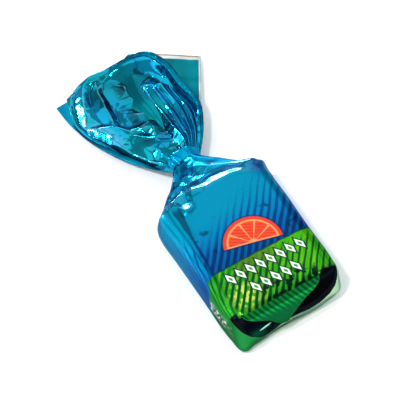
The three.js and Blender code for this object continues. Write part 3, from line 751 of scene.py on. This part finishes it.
class Ink:
    """A number or a colour that varies over a surface. Numbers add, multiply and so on as usual."""

    tree = None  # of the material that is being made

    def __init__(self, socket):
        self.socket = socket

    @classmethod
    def node(cls, kind, settings=(), inputs=(), output=0):
        """One of the outputs of a new node. Its inputs are inks or plain values."""
        made = cls.tree.nodes.new(kind)
        for key, value in dict(settings).items():
            if key == "stops":
                elements = made.color_ramp.elements
                while len(elements) < len(value):
                    elements.new(0.5)
                for element, (at, tone) in zip(elements, value):
                    element.position, element.color = at, tone
            else:
                setattr(made, key, value)
        for key, value in dict(inputs).items():
            if isinstance(value, cls):
                cls.tree.links.new(value.socket, made.inputs[key])
            else:
                made.inputs[key].default_value = value
        return cls(made.outputs[output])

    @classmethod
    def sum(cls, operation, *values):
        return cls.node("ShaderNodeMath", {"operation": operation}, dict(enumerate(values)))

    def __add__(self, other):
        return Ink.sum("ADD", self, other)

    __radd__ = __add__

    def __sub__(self, other):
        return Ink.sum("SUBTRACT", self, other)

    def __rsub__(self, other):
        return Ink.sum("SUBTRACT", other, self)

    def __mul__(self, other):
        return Ink.sum("MULTIPLY", self, other)

    __rmul__ = __mul__

    def __truediv__(self, other):
        return Ink.sum("DIVIDE", self, other)

    def __rtruediv__(self, other):
        return Ink.sum("DIVIDE", other, self)

    def __abs__(self):
        return Ink.sum("ABSOLUTE", self)

    def __mod__(self, other):
        return Ink.sum("FLOORED_MODULO", self, other)

    def __pow__(self, other):
        return Ink.sum("POWER", self, other)


def between(value, low, high):
    """0 below low, 1 above high and smooth in between; the other way round if low is the larger."""
    if low > high:
        return 1 - between(value, high, low)
    ranges = {"Value": value, "From Min": low, "From Max": high}
    return Ink.node("ShaderNodeMapRange", {"interpolation_type": "SMOOTHSTEP"}, ranges)


def inside(value, low, high, soft):
    """1 between low and high, with soft edges."""
    return between(value, low - soft, low + soft) * between(value, high + soft, high - soft)


def most(a, b):
    return Ink.sum("MAXIMUM", a, b)


def hill_ink(value, middle, width):
    """1 at the middle, falling away to 0 on both sides."""
    x = (value - middle) / width
    return 1 / (1 + x * x * x * x + x * x)


def spot(u, v, middle, size):
    """A soft round spot."""
    return hill_ink(u, middle[0], size[0]) * hill_ink(v, middle[1], size[1])


def stripes(value, pitch=1.0):
    """A wave that is 1 at every whole pitch and 0 halfway between."""
    return abs((value / pitch) % 1.0 - 0.5) * 2.0


def paint(under, over, amount):
    """One colour over another; each is an ink or a plain (red, green, blue)."""
    settings = {"data_type": "RGBA", "clamp_factor": True}
    return Ink.node("ShaderNodeMix", settings, {0: amount, 6: light_of(under), 7: light_of(over)}, 2)


def deeper(ink, amount):
    """The same ink made darker, so that it gives back only this share of the light."""
    return Ink.node("ShaderNodeVectorMath", {"operation": "SCALE"}, {0: ink, "Scale": amount})


def ramp(value, stops):
    """A colour for each value from 0 to 1, through (place, colour) stops."""
    stops = [(at, light_of(tone)) for at, tone in stops]
    return Ink.node("ShaderNodeValToRGB", {"stops": stops}, {"Fac": value})


def red_part(ink):
    return Ink.node("ShaderNodeSeparateColor", {}, {0: ink})


def noise(vector, scale, detail=2.0):
    return Ink.node("ShaderNodeTexNoise", {}, {"Vector": vector, "Scale": scale, "Detail": detail})


def facets(vector, scale, output="Distance"):
    return Ink.node("ShaderNodeTexVoronoi", {}, {"Vector": vector, "Scale": scale}, output)


def place(x, y):
    return Ink.node("ShaderNodeCombineXYZ", {}, {0: x, 1: y})


def parts_of(vector, count, scale):
    """The first numbers of a vector, each times the scale."""
    split = Ink.tree.nodes.new("ShaderNodeSeparateXYZ")
    Ink.tree.links.new(vector.socket, split.inputs[0])
    return [Ink(split.outputs[n]) * scale for n in range(count)]


def film_place():
    """u and v of the film, in millimetres."""
    return parts_of(Ink.node("ShaderNodeUVMap", {"uv_map": "film"}), 2, UV_MM)


def body_place():
    """A place in the row frame, as a vector in metres."""
    return Ink.node("ShaderNodeTexCoord", output="Object")


def film_material(name, build):
    """A material whose build gives the values of its main shader's sockets."""
    material = bpy.data.materials.new(name)
    material.use_nodes = True
    tree = material.node_tree
    tree.nodes.clear()
    Ink.tree = tree
    shader = Ink.node("ShaderNodeBsdfPrincipled", {}, build())
    sink = tree.nodes.new("ShaderNodeOutputMaterial")
    tree.links.new(shader.socket, sink.inputs["Surface"])
    return material


def crinkle(vector, strength):
    """Fine facets and ripples in the film as a bump."""
    height = facets(vector, 420.0) * 0.7 + noise(vector, 1100.0, 3.0) * 0.35
    return Ink.node("ShaderNodeBump", {}, {"Strength": strength, "Distance": 0.25 * MM, "Height": height})


def crease_lines(ink, vector, pale, strength):
    """Crest lines with a painted highlight, where the print is also rubbed pale, and valley lines of painted
    shade.
    """
    sharp = Ink.node("ShaderNodeAttribute", {"attribute_name": "sharp"}, output="Fac")
    wear_and_highlight = between(noise(vector, 700.0), 0.35, 0.6)
    # painted highlight on the crests, broken up like rubbed print
    ink = paint(ink, pale, between(sharp, 0.05, 0.13) * wear_and_highlight * strength * 0.7)
    # painted shade in the valleys
    return paint(ink, (0, 62, 118), between(sharp, -0.04, -0.12) * strength * 0.8)


def film_values(vector, ink, metal, rough, tint, coat, coat_rough, bump):
    """The main shader's values for a metallised film."""
    return {
        "Base Color": ink,
        "Metallic": metal,
        "Roughness": rough,
        "Specular IOR Level": 0.2,
        "Specular Tint": light_of(tint),
        "Coat Weight": coat,
        "Coat Roughness": coat_rough,
        "Normal": crinkle(vector, bump),
    }


def blue_field(u, v, stroke, ragged):
    """The blue field, lighter towards the shoulder, with dark hatching that fades out in ragged strokes."""
    sky = ramp((v + 5.0) / 16.0, [
        (0.0, (6, 82, 150)), (0.3, (6, 108, 178)), (0.55, (2, 138, 194)),
        (0.8, (1, 152, 192)), (1.0, (1, 154, 192)),
    ])
    strokes = ramp((v + 5.0) / 15.0, [
        (0.0, (1, 44, 98)), (0.35, (1, 58, 126)), (0.7, (2, 86, 160)),
        (1.0, (2, 118, 176)),
    ])
    fade = between(v - 0.5 * u + ragged, 10.0, 3.5)
    hatch = between(stroke - between(v, 12.0, -2.0) * 0.3, 0.34, 0.2) * fade
    sky = paint(sky, strokes, hatch * 0.92)
    blots = between(noise(place(u, v), 0.32, 3.0), 0.6, 0.68) * between(v, 9.0, 5.0)
    return paint(sky, (1, 46, 78), blots * 0.7)


def green_field(u, v, slant, ragged):
    """The green field: bright slanting strokes, darker ones towards the folded end, and a yellow glint."""
    patch = noise(place(u, v * 0.6), 0.18, 1.0)
    field = paint((14, 150, 34), (78, 206, 20), between(patch + 0.025 * u, 0.42, 0.66))
    olive = between(v, -10.0, -5.5) * inside(u, -6.0, 3.5, 2.4)
    field = paint(field, (92, 138, 40), olive * 0.85)
    band = stripes(slant / 1.25 + 0.3)
    glow = between(noise(place(slant, v * 0.3), 0.5), 0.42, 0.7)
    glow = paint((44, 184, 26), (146, 232, 28), glow)
    field = paint(field, glow, between(band, 0.55, 0.25) * (1 - 0.75 * olive) * 0.8)
    dark = between(band, 0.56, 0.74) * between(v + 0.3 * ragged, -4.6, -7.0)
    field = paint(field, (1, 74, 38), dark * 0.9)
    blotch = between(noise(place(u * 1.2, v), 0.55), 0.46, 0.54) * between(v, -10.6, -12.4)
    blotch = blotch * between(u, -6.0, -3.0) * between(u, 10.0, 7.0)
    field = paint(field, (6, 40, 26), blotch)
    low = between(v, -13.2, -14.6) * between(u, -8.0, -5.0)
    field = paint(field, (2, 48, 28), low * between(band, 0.3, 0.6))
    glint = spot(u, v, (-7.6, -11.4), (2.6, 2.6)) * between(band, 0.6, 0.3)
    glint = glint * between(noise(place(u, v), 0.9), 0.43, 0.55)
    return paint(field, (240, 252, 110), glint * 1.8)


def label_ink(u, v):
    """The printed side of the block: a blue field over a green field, both hatched by slanting strokes."""
    wander = (noise(place(u, v), 0.22, 1.0) - 0.5) * 0.5
    slant = 0.794 * u - 0.607 * v + wander
    ragged = (noise(place(slant * 0.9, 0.0), 1.0) - 0.5) * 7.0
    blue = deeper(blue_field(u, v, stripes(slant, 1.4), ragged), 0.76)
    green = deeper(green_field(u, v, slant, ragged), 0.68)
    edge = v - FIELD_EDGE + 0.05 * Ink.sum("SINE", u * 2.0)
    ink = paint(green, blue, between(edge, -0.06, 0.06))
    return paint(ink, (4, 62, 50), inside(edge, -0.2, 0.16, 0.08) * 0.85)


def fruit_slice(u, v, ink):
    """A half round of fruit jelly, in the blue field."""
    x, y = (u - SLICE["u"]) / SLICE["scale"], (v - SLICE["v"]) / SLICE["scale"]
    turned_x, turned_y = 0.97 * x - 0.24 * y, 0.24 * x + 0.97 * y
    far = (turned_x * turned_x + turned_y * turned_y) ** 0.5
    half = between(turned_y, -0.05, 0.05)
    ink = paint(ink, (1, 44, 92), between(far, 5.5, 5.2) * between(turned_y, -0.4, -0.2) * 0.8)
    ink = paint(ink, (232, 66, 44), between(far, 5.15, 5.0) * half)
    ink = paint(ink, (255, 150, 96), between(far, 4.55, 4.45) * half)
    lines = stripes(0.3 * turned_x + turned_y, 0.62)
    flesh = paint((252, 78, 44), (204, 54, 46), between(lines, 0.5, 0.8))
    wedge = between(stripes(Ink.sum("ARCTAN2", turned_y, turned_x), math.pi / 5), 0.9, 0.82)
    return paint(ink, flesh, wedge * inside(far, 0.75, 4.15, 0.08) * between(turned_y, 0.22, 0.34))


def lozenges(u, v, ink):
    """Two rows of pale lozenges with a dark green outline, in the green field."""
    rings = (((8, 70, 30), 1.5, 1.3), ((236, 244, 232), 1.04, 0.9), ((60, 150, 60), 0.5, 0.36))
    for row_v, first, last, steps in LOZENGE_ROWS:
        slanted = u + 0.35 * (v - row_v) + steps * LOZENGE_STEP
        away = stripes(slanted, LOZENGE_STEP) * (LOZENGE_STEP / 2) / 0.78 + abs(v - row_v) / 1.55
        kept = inside(u, first, last, 0.05)
        for tone, rim, full in rings:
            ink = paint(ink, tone, between(away, rim, full) * kept)
    return ink


def left_crease_ink(u, v, ink):
    """The shade of the taut crease down the label's left edge."""
    wide = 0.2 + 0.7 * between(v, 4.0, 14.0)
    wide = wide + (noise(place(u * 0.6, v * 0.5), 1.0) - 0.5) * 0.6
    crease = between(abs(left_crease(u, v)) - wide, 0.2, -0.1)
    crease = crease * between(v + 0.5 * u, 10.0, 8.0) * between(v, -5.0, -3.0)
    return paint(ink, paint((0, 36, 84), (0, 66, 88), between(v, 2.0, 9.0)), crease * 0.85)


def left_side(u, v, lines):
    """The left side: the same fields, with long thin lines that run down it."""
    side = ramp((v + 8.0) / 19.0, [
        (0.0, (84, 118, 164)), (0.14, (20, 132, 206)), (0.35, (3, 158, 228)),
        (0.6, (2, 178, 232)), (0.8, (0, 172, 216)), (1.0, (0, 164, 206)),
    ])
    drawn = between(lines, 0.62, 0.86) * between(v, 9.0, 3.0) * between(u, -18.5, -15.5)
    side = paint(side, (1, 74, 150), drawn * 0.8)
    green = paint((52, 172, 40), (10, 104, 40), between(lines, 0.45, 0.75))
    pale = between(u, -13.4, -15.4) * (1 - 0.4 * between(lines, 0.5, 0.8))
    green = paint(green, (104, 196, 112), pale)
    side = paint(side, green, between(v + 0.02 * u + 1.5 * between(u, -12.0, -13.6), -4.4, -4.8))
    side = paint(side, (18, 120, 52), between(u, -18.6, -19.4) * between(v, -5.5, -7.5))
    return deeper(side, 0.62 + 0.14 * between(v, -2.0, 8.0) + 0.3 * between(v, -4.4, -6.0))


def mottle(u, v, ink):
    """A small mottled patch low on the left side. Gives the ink, and where its pale specks are."""
    patch = inside(u, -18.8, -15.8, 0.35) * inside(v, -13.6, -6.0, 0.5)
    ink = paint(ink, (150, 158, 122), patch * 0.7)
    brown = between(noise(place(u, v * 0.5), 0.9), 0.54, 0.6)
    ink = paint(ink, (150, 74, 44), patch * brown * 0.8)
    grey = between(noise(place(u * 0.9, v), 1.3), 0.56, 0.62)
    ink = paint(ink, (36, 44, 40), patch * grey * 0.9)
    specks = patch * between(noise(place(u * 1.1, v * 0.8), 1.5), 0.55, 0.6)
    return paint(ink, (250, 240, 226), specks), specks


def right_side(v, lines):
    """The right side: darker fields with the same lines."""
    blue = paint((0, 118, 178), (1, 66, 134), between(lines, 0.6, 0.84) * between(v, 10.0, 4.0))
    green = paint((40, 146, 34), (8, 92, 36), between(lines, 0.45, 0.75))
    return paint(blue, green, between(v, -4.1, -4.3))


def underside(u, v):
    """Plain film with a lengthwise seam."""
    plain = paint((0, 128, 184), (26, 128, 50), between(v, -3.9, -4.5))
    return paint(plain, (0, 60, 100), inside(u, -33.2, -32.9, 0.05))


def gathered_ink(u, v, vector):
    """The shoulder and the neck: cyan, with painted shade in deeper blue just past the label and in the
    folds, and a painted highlight and shade along the creases.
    """
    mood = noise(place(u * 0.5, v), 0.35)
    ink = paint((1, 142, 196), (1, 156, 190), between(mood, 0.4, 0.6))
    # painted shade: a deeper blue band just past the label
    past = inside(v + 0.17 * u, 17.9, 19.2, 0.4) * inside(u, -6.0, 10.0, 1.0)
    ink = paint(ink, (1, 84, 164), past * 0.8)
    # painted shade where the film falls away into the dark valley of the shoulder
    ink = paint(ink, (1, 66, 108), spot(u, v, (5.2, 23.4), (2.6, 1.5)))
    # painted shade on some facets of the bunched film at the left of the shoulder
    shade = red_part(facets(place(u * 0.8, v), 0.62, "Color"))
    bunched = between(u, 0.5, -1.0) * between(v, 17.2, 18.2)
    ink = paint(ink, (1, 104, 136), between(shade, 0.4, 0.5) * bunched * 0.7)
    ink = paint(ink, (1, 78, 136), between(shade, 0.7, 0.78) * bunched * 0.75)
    # painted highlight on the crests and painted shade in the valleys
    return crease_lines(ink, vector, (140, 220, 236), 0.8)


def edge_profile(edge, x):
    """The height of one of the folded end's edges at x, in millimetres."""
    half_span, tall = 13.0, 14.0
    stops = [((px + half_span) / (2 * half_span), (pz / tall, pz / tall, pz / tall, 1.0)) for px, pz in edge]
    heights = Ink.node("ShaderNodeValToRGB", {"stops": stops}, {"Fac": (x + half_span) / (2 * half_span)})
    return red_part(heights) * tall


def folded_end(v, x, y, z):
    """The folded end: the hatched flap, black corners and a pale rim. Gives its ink, the mask of
    the whole end and the mask of its black film."""
    corner_left = between(y + 0.3 * (z - 10.0), -13.2, -13.6) * between(x, -10.6, -11.0)
    corner_right = between(y, -14.2, -14.6) * between(x, 7.6, 8.2) * between(z, 12.3, 12.1)
    on_end = most(between(v, -14.9, -15.3), most(corner_left, corner_right))
    above_flap = z - edge_profile(FLAP_EDGE, x)
    above_rim = z - edge_profile(RIM_EDGE, x)

    bands = stripes(0.86 * x - 0.5 * z + 0.05 * z * z, 0.95)
    strokes = between(bands - 0.35 * between(z, 8.0, 12.0), 0.3, 0.1) * between(z + 0.12 * x, 7.6, 10.6)
    flap = paint((0, 100, 54), (26, 166, 62), strokes * 0.9)
    flap = paint(flap, (0, 86, 50), between(z, 6.6, 3.6))
    flap = paint(flap, (40, 112, 66), inside(above_flap, 0.0, 0.28, 0.1) * between(x, -2.0, 1.0))

    dark = paint((14, 18, 23), (10, 66, 48), spot(x, z, (-7.4, 4.9), (2.4, 1.3)) * 0.9)
    sheen = hill_ink(z - 5.4 - 0.22 * (x + 6.2), 0.0, 0.42) * hill_ink(x, -6.0, 2.1)
    dark = paint(dark, (170, 240, 210), between(sheen, 0.5, 0.85))

    rim = paint((176, 206, 164), (44, 136, 66), between(x - 0.6 * z, -5.6, -8.4))
    green_tip = inside(z + 0.5 * x, -5.6, -4.6, 0.2) * between(x, -9.5, -10.5)
    rim = paint(rim, (16, 112, 52), green_tip)

    ink = paint(dark, flap, between(above_flap, -0.06, 0.06))
    ink = paint(ink, rim, between(above_rim, 0.08, -0.08))
    return ink, on_end, on_end * between(above_flap, 0.06, -0.06) * between(above_rim, -0.08, 0.08)


def taut_film(u, v):
    """Where the film is drawn smooth enough to glint: just past the label, and in two corner folds."""
    past_label = between(v + 0.5 * most(u - 5.0, 0.0) - 0.45 * most(-1.5 - u, 0.0), 14.5, 15.0)
    past_label = past_label * (1 - 0.8 * between(v, 19.0, 20.0))
    corner_fold = inside(u, -8.2, -5.7, 0.3) * inside(v, 12.3, 14.9, 0.2)
    corner_fold = most(corner_fold, inside(u, -11.0, -7.0, 0.4) * inside(v, 15.2, 19.5, 0.4))
    return most(past_label * most(between(u, -5.5, -4.5), between(v, 18.6, 17.6)), corner_fold)


def block_film():
    """The block: the label, its sides and underside, the shoulder with the neck, and the folded end."""
    u, v = film_place()
    vector = body_place()
    x, y, z = parts_of(vector, 3, 1 / MM)
    ink = left_crease_ink(u, v, lozenges(u, v, fruit_slice(u, v, label_ink(u, v))))
    lines = stripes((u + 12.0) / 1.1 - v * 0.2 + noise(place(u * 0.4, v * 0.12), 1.0) * 1.4)
    ink = paint(ink, left_side(u, v, lines), between(u, -10.2, -11.6) * between(v, 19.0, 16.0))
    ink, specks = mottle(u, v, ink)
    ink = paint(ink, right_side(v, lines), between(u, 11.6, 12.6) * between(v, 17.0, 14.0))
    ink = paint(ink, (1, 62, 140), spot(u, v, (10.4, 13.4), (1.6, 2.2)) * 0.9)
    ink = paint(ink, underside(u, v), between(abs(u), 23.4, 24.2) * between(v, 19.0, 16.0))
    ink = paint(ink, gathered_ink(u, v, vector), between(v + 0.06 * u, 16.6, 17.1))
    end, on_end, black = folded_end(v, x, y, z)
    ink = paint(ink, end, on_end)

    far_rim = between(v, 19.4, 20.4)
    rough = 0.2 + 0.12 * noise(vector, 260.0) - 0.06 * black - 0.19 * between(v, 14.0, 16.0)
    rough = rough + 0.14 * far_rim + 0.12 * far_rim * between(u, 2.0, 5.0)
    on_top = between(z, 9.0, 11.0) * (1 - on_end)
    return film_values(
        vector,
        ink,
        metal=most(0.92, black) - 0.8 * specks,
        rough=rough,
        tint=(80, 140, 160),
        coat=0.02 + on_top * (0.04 + 0.4 * taut_film(u, v)),
        coat_rough=0.05,
        bump=0.12,
    )


def fan_film():
    """The upper layer: teal on the left, deeper blue and streaked on the right, with painted shade under the
    arch and on some facets, and a painted highlight and shade along the creases.
    """
    u, v = film_place()
    vector = body_place()
    ink = paint((0, 172, 190), (4, 170, 214), between(noise(vector, 130.0), 0.42, 0.6))
    ink = paint(ink, (0, 136, 160), between(noise(vector, 210.0, 1.0), 0.55, 0.7) * 0.6)
    right = between(u, 14.0, 19.0)
    ink = paint(ink, (0, 150, 204), right * 0.5)
    streaks = between(noise(place(u * 1.5, v * 0.07), 1.0), 0.56, 0.62)
    ink = paint(ink, (0, 96, 162), streaks * right * 0.5)
    # painted shade under the arch
    ragged = facets(place(u * 0.7, v), 0.8) * 2.4
    from_arch = abs(v - 32.2 + 0.07 * (u - 18.0) * (u - 18.0) + ragged) - 1.2
    ink = paint(ink, (0, 74, 94), between(from_arch, 0.3, -0.3) * inside(u, 12.0, 25.5, 1.0) * 0.85)
    # painted shade on some facets of the crumpled film in the middle of the fan
    bend = (noise(place(u, v), 0.5) - 0.5) * 1.6
    shade = red_part(facets(place(u * 0.9 + bend, v * 0.75), 0.5, "Color"))
    shaded_facets = between(shade, 0.64, 0.68) * inside(u, 6.0, 18.0, 1.5) * inside(v, 13.0, 31.0, 1.5)
    ink = paint(ink, (0, 96, 116), shaded_facets * 0.75)
    # painted highlight on the crests and painted shade in the valleys
    ink = crease_lines(ink, vector, (120, 215, 235), 0.8 - 0.5 * right)
    bright_ridge = inside(u, 1.2, 4.4, 0.3) * inside(v, 17.0, 25.0, 0.5)
    left_lobe = between(u, 5.5, 4.5) * between(v, 25.0, 26.0)
    return film_values(
        vector,
        deeper(ink, 0.68 + 0.22 * between(u, 9.0, 5.0) + 0.34 * right),
        metal=0.95,
        rough=0.06 + 0.08 * noise(vector, 300.0),
        tint=(60, 130, 150),
        coat=0.16 + 0.8 * bright_ridge + 0.25 * left_lobe,
        coat_rough=0.04,
        bump=0.12,
    )


def rolled_edge_film():
    """The turned and rolled edges: the fan's film seen from its duller face."""
    vector = body_place()
    return film_values(
        vector,
        paint((0, 78, 110), (0, 120, 148), between(noise(vector, 170.0), 0.42, 0.62)),
        metal=0.9,
        rough=0.24 + 0.14 * noise(vector, 320.0),
        tint=(60, 130, 150),
        coat=0.04,
        coat_rough=0.1,
        bump=0.25,
    )


def back_film():
    """The lower layer, with an unprinted margin along its cut edge."""
    u, v = film_place()
    vector = body_place()
    ink = paint((0, 138, 150), (0, 108, 124), between(noise(vector, 90.0), 0.42, 0.62))
    ink = paint(ink, (0, 150, 190), between(u, 4.5, 2.5) * between(v, 26.0, 30.0) * 0.8)
    cut = v + 0.35 * (noise(place(u * 0.8, 0.0), 1.0) - 0.5)
    on_right = between(u, 19.6, 20.4)
    ink = paint(ink, (226, 230, 226), between(cut, 34.3, 34.5) * on_right)
    ink = paint(ink, (184, 146, 92), inside(cut, 35.35, 35.7, 0.08) * on_right)
    ink = paint(ink, (222, 228, 226), between(u, 29.45, 29.6) * between(v, 12.0, 16.0))
    return film_values(
        vector,
        ink,
        metal=0.9,
        rough=0.22 + 0.1 * noise(vector, 240.0),
        tint=(90, 120, 120),
        coat=0.06,
        coat_rough=0.05,
        bump=0.1,
    )


BLOCK_FILM = film_material("printed_label_film", block_film)
FAN_FILM = film_material("teal_fan_film", fan_film)
EDGE_FILM = film_material("rolled_edge_film", rolled_edge_film)
BACK_FILM = film_material("back_layer_film", back_film)

# ---------------------------------------------------------------- the pieces

block = wrapped_block()
block.data.materials.append(BLOCK_FILM)

upper = film_layer("upper_fan_layer", UPPER, 220, 200, upper_relief)
upper.data.materials.append(FAN_FILM)

lower = film_layer("lower_fan_layer", LOWER, 150, 120, lower_relief)
lower.data.materials.append(BACK_FILM)

roll_path = [UPPER["far"][n] for n in (1, 2, 3)] + UPPER["right"][::-1]
roll_line = along([(x, y, z - ROLL["End radius"]) for x, y, z in roll_path], np.linspace(0, 1, 60))
roll = rolled_film("rolled_fan_edge", roll_line, ROLL, 4)

lip_line = along(UPPER["left"], np.linspace(*LIP_SPAN, 40)) + LIP_OFFSET
lip = rolled_film("turned_fan_lip", lip_line, LIP, 9)

for piece in (block, upper, lower, roll, lip):
    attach(piece, "root")
    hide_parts("wrapped_candy")

# ---------------------------------------------------------------- floor, light and camera


def pale_floor():
    points = [(-900, -900, 0), (900, -900, 0), (900, 1400, 0), (-900, 1400, 0)]
    floor = mesh_object("floor", points, [[0, 1, 2, 3]])

    def build():
        tone = paint((252, 252, 252), (254, 254, 254), noise(body_place(), 9.0))
        return {"Base Color": tone, "Roughness": 0.6}

    floor.data.materials.append(film_material("pale_floor", build))


def direction(side, height):
    """The way towards a bearing (from +Y towards +X) and a height, both in degrees."""
    side, height = math.radians(side), math.radians(height)
    return Vector((math.sin(side) * math.cos(height), math.cos(side) * math.cos(height), math.sin(height)))


def soft_light(name, side, height, distance, size, radiance):
    """A soft box that shines on the candy from a bearing and a height."""
    light = bpy.data.lights.new(name, "AREA")
    light.shape = "RECTANGLE"
    light.size, light.size_y = size[0] * MM, size[1] * MM
    light.energy = radiance * math.pi * light.size * light.size_y
    way = direction(side, height)
    holder = bpy.data.objects.new(name, light)
    holder.location = (LIGHT_AIM + way * distance) * MM
    holder.rotation_euler = (-way).to_track_quat("-Z", "Y").to_euler()
    bpy.context.scene.collection.objects.link(holder)


LIGHT_AIM = Vector((0, 20, 6))
SOFT_BOXES = {  # bearing and height in degrees, distance and size in millimetres, brightness
    "overhead": (20, 55, 420, (340, 290), 0.86),
    "top": (-10, 86, 420, (230, 120), 0.75),
    "left_wall": (-76, 32, 420, (480, 300), 0.8),
    "right_wall": (92, 34, 420, (360, 240), 0.7),
    "back_low": (10, 16.5, 425, (420, 52), 0.8),
    "back": (14, 4.5, 420, (110, 54), 30.0),
    "left_low": (-85, 7, 415, (44, 18), 70.0),
    "left_back": (-39, 5, 415, (60, 40), 60.0),
    "key": (-125, 66, 420, (26, 32), 240.0),
    "left": (-95, 62, 400, (18, 30), 240.0),
    "right": (112, 44, 420, (18, 50), 140.0),
}
SURROUNDINGS = {"Color": (0.85, 0.93, 1.0, 1.0), "Strength": 0.48}


def studio():
    world = bpy.data.worlds.new("studio")
    world.use_nodes = True
    for key, value in SURROUNDINGS.items():
        world.node_tree.nodes["Background"].inputs[key].default_value = value
    bpy.context.scene.world = world
    for name, settings in SOFT_BOXES.items():
        soft_light(name, *settings)
    bpy.context.scene.view_settings.view_transform = "Standard"


CAMERA = {  # fitted to the photo, in millimetres and degrees; the azimuth is from -Y towards +X
    "aim": (-2.32, 17.53, 6.0), "distance": 257.5, "azimuth": -20.4, "elevation": 54.1, "roll": -10.2,
    "lens": 108.2, "sensor": 36.0,
}


def put_camera():
    azimuth, roll_angle = math.radians(CAMERA["azimuth"]), math.radians(CAMERA["roll"])
    back = direction(180.0 - CAMERA["azimuth"], CAMERA["elevation"])
    right = Vector((math.cos(azimuth), math.sin(azimuth), 0))
    up = back.cross(right)
    turned_right = math.cos(roll_angle) * right + math.sin(roll_angle) * up
    turned_up = math.cos(roll_angle) * up - math.sin(roll_angle) * right
    camera = bpy.data.cameras.new("camera")
    camera.lens, camera.sensor_width = CAMERA["lens"], CAMERA["sensor"]
    camera.clip_start = 0.01
    holder = bpy.data.objects.new("camera", camera)
    turn = Matrix((turned_right, turned_up, back)).transposed().to_4x4()
    holder.matrix_world = Matrix.Translation((Vector(CAMERA["aim"]) + back * CAMERA["distance"]) * MM) @ turn
    bpy.context.scene.collection.objects.link(holder)
    bpy.context.scene.camera = holder


pale_floor()
studio()
put_camera()
